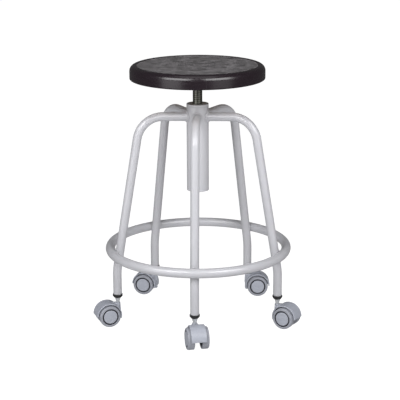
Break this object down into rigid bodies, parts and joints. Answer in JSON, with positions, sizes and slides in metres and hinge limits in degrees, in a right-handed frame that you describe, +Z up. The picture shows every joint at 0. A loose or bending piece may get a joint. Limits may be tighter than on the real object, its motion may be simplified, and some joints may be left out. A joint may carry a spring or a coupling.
{
  "type": "machinist stool",
  "caption": "Workshop stool: round moulded seat on a threaded spindle, hub with bent tube legs, foot ring, and hooded twin-wheel swivel casters.",
  "frame": {"origin": "on the floor, under the middle of the hub", "axes": "+Z up along the spindle; -Y is the direction of the front leg, numbered 1; +X to the right as seen from the front leg's side"},
  "size_m": [0.4847, 0.4693, 0.601],
  "materials": {
    "frame_paint": "light grey powder coat, semi-gloss",
    "bush_steel": "darker grey paint on the bush's top face",
    "spindle_steel": "oiled dark steel with a cut thread",
    "plate_steel": "black paint",
    "zinc": "bright zinc plate",
    "plug_black": "moulded black plastic",
    "guide_plastic": "natural nylon",
    "seat_skin": "integral-skin foam, satin-gloss rim and fine grained top",
    "board_wood": "birch plywood",
    "caster_grey": "satin grey nylon",
    "tyre_grey": "satin grey tread",
    "core_black": "black nylon"
  },
  "bodies": {
    "frame": {"hub_tube": "frame_paint", "thread_bush": "bush_steel", "foot_ring": "frame_paint", "leg_1": "frame_paint", "leg_2": "frame_paint", "leg_3": "frame_paint", "leg_4": "frame_paint", "leg_5": "frame_paint", "leg_plugs": "plug_black", "caster_stems": "zinc"},
    "guide": {"guide_ring": "guide_plastic"},
    "seat": {"seat_pad": "seat_skin", "seat_board": "board_wood", "seat_plate": "plate_steel", "seat_screws": "zinc", "seat_nuts": "zinc", "spindle": "spindle_steel", "stop_plate": "plate_steel", "stop_bolt": "zinc"},
    "caster_1": {"caster_hood_1": "caster_grey", "caster_axle_1": "zinc"},
    "wheel_1_left": {"tyre_1_left": "tyre_grey", "wheel_core_1_left": "core_black", "wheel_cap_1_left": "caster_grey"},
    "wheel_1_right": {"tyre_1_right": "tyre_grey", "wheel_core_1_right": "core_black", "wheel_cap_1_right": "caster_grey"},
    "caster_2": {"caster_hood_2": "caster_grey", "caster_axle_2": "zinc"},
    "wheel_2_left": {"tyre_2_left": "tyre_grey", "wheel_core_2_left": "core_black", "wheel_cap_2_left": "caster_grey"},
    "wheel_2_right": {"tyre_2_right": "tyre_grey", "wheel_core_2_right": "core_black", "wheel_cap_2_right": "caster_grey"},
    "caster_3": {"caster_hood_3": "caster_grey", "caster_axle_3": "zinc"},
    "wheel_3_left": {"tyre_3_left": "tyre_grey", "wheel_core_3_left": "core_black", "wheel_cap_3_left": "caster_grey"},
    "wheel_3_right": {"tyre_3_right": "tyre_grey", "wheel_core_3_right": "core_black", "wheel_cap_3_right": "caster_grey"},
    "caster_4": {"caster_hood_4": "caster_grey", "caster_axle_4": "zinc"},
    "wheel_4_left": {"tyre_4_left": "tyre_grey", "wheel_core_4_left": "core_black", "wheel_cap_4_left": "caster_grey"},
    "wheel_4_right": {"tyre_4_right": "tyre_grey", "wheel_core_4_right": "core_black", "wheel_cap_4_right": "caster_grey"},
    "caster_5": {"caster_hood_5": "caster_grey", "caster_axle_5": "zinc"},
    "wheel_5_left": {"tyre_5_left": "tyre_grey", "wheel_core_5_left": "core_black", "wheel_cap_5_left": "caster_grey"},
    "wheel_5_right": {"tyre_5_right": "tyre_grey", "wheel_core_5_right": "core_black", "wheel_cap_5_right": "caster_grey"}
  },
  "joints": [
    {"name": "seat_rise", "type": "slide", "parent": "frame", "child": "guide", "axis": [0, 0, 1], "range_m": [-0.048, 0.108]},
    {"name": "seat_turn", "type": "hinge", "parent": "guide", "child": "seat", "pos_m": [0, 0, 0.354], "axis": [0, 0, 1], "range_deg": [-3456, 7776]},
    {"name": "caster_1_swivel", "type": "hinge", "parent": "frame", "child": "caster_1", "pos_m": [0, -0.1954, 0.0514], "axis": [0, 0, 1], "continuous": true},
    {"name": "wheel_1_left_spin", "type": "hinge", "parent": "caster_1", "child": "wheel_1_left", "pos_m": [0.00584, -0.21971, 0.025], "axis": [0.9724, 0.2334, 0], "continuous": true},
    {"name": "wheel_1_right_spin", "type": "hinge", "parent": "caster_1", "child": "wheel_1_right", "pos_m": [0.00584, -0.21971, 0.025], "axis": [0.9724, 0.2334, 0], "continuous": true},
    {"name": "caster_2_swivel", "type": "hinge", "parent": "frame", "child": "caster_2", "pos_m": [-0.18584, -0.06038, 0.0514], "axis": [0, 0, 1], "continuous": true},
    {"name": "wheel_2_left_spin", "type": "hinge", "parent": "caster_2", "child": "wheel_2_left", "pos_m": [-0.20893, -0.06995, 0.025], "axis": [0.3827, -0.9239, 0], "continuous": true},
    {"name": "wheel_2_right_spin", "type": "hinge", "parent": "caster_2", "child": "wheel_2_right", "pos_m": [-0.20893, -0.06995, 0.025], "axis": [0.3827, -0.9239, 0], "continuous": true},
    {"name": "caster_3_swivel", "type": "hinge", "parent": "frame", "child": "caster_3", "pos_m": [-0.11485, 0.15808, 0.0514], "axis": [0, 0, 1], "continuous": true},
    {"name": "wheel_3_left_spin", "type": "hinge", "parent": "caster_3", "child": "wheel_3_left", "pos_m": [-0.13926, 0.16349, 0.025], "axis": [-0.2164, -0.9763, 0], "continuous": true},
    {"name": "wheel_3_right_spin", "type": "hinge", "parent": "caster_3", "child": "wheel_3_right", "pos_m": [-0.13926, 0.16349, 0.025], "axis": [-0.2164, -0.9763, 0], "continuous": true},
    {"name": "caster_4_swivel", "type": "hinge", "parent": "frame", "child": "caster_4", "pos_m": [0.11485, 0.15808, 0.0514], "axis": [0, 0, 1], "continuous": true},
    {"name": "wheel_4_left_spin", "type": "hinge", "parent": "caster_4", "child": "wheel_4_left", "pos_m": [0.13983, 0.15917, 0.025], "axis": [-0.0436, 0.999, 0], "continuous": true},
    {"name": "wheel_4_right_spin", "type": "hinge", "parent": "caster_4", "child": "wheel_4_right", "pos_m": [0.13983, 0.15917, 0.025], "axis": [-0.0436, 0.999, 0], "continuous": true},
    {"name": "caster_5_swivel", "type": "hinge", "parent": "frame", "child": "caster_5", "pos_m": [0.18584, -0.06038, 0.0514], "axis": [0, 0, 1], "continuous": true},
    {"name": "wheel_5_left_spin", "type": "hinge", "parent": "caster_5", "child": "wheel_5_left", "pos_m": [0.20781, -0.07231, 0.025], "axis": [0.4772, 0.8788, 0], "continuous": true},
    {"name": "wheel_5_right_spin", "type": "hinge", "parent": "caster_5", "child": "wheel_5_right", "pos_m": [0.20781, -0.07231, 0.025], "axis": [0.4772, 0.8788, 0], "continuous": true}
  ],
  "couplings": [
    {"joint": "seat_rise", "follows": "seat_turn", "m_per_rad": 0.00079577}
  ]
}
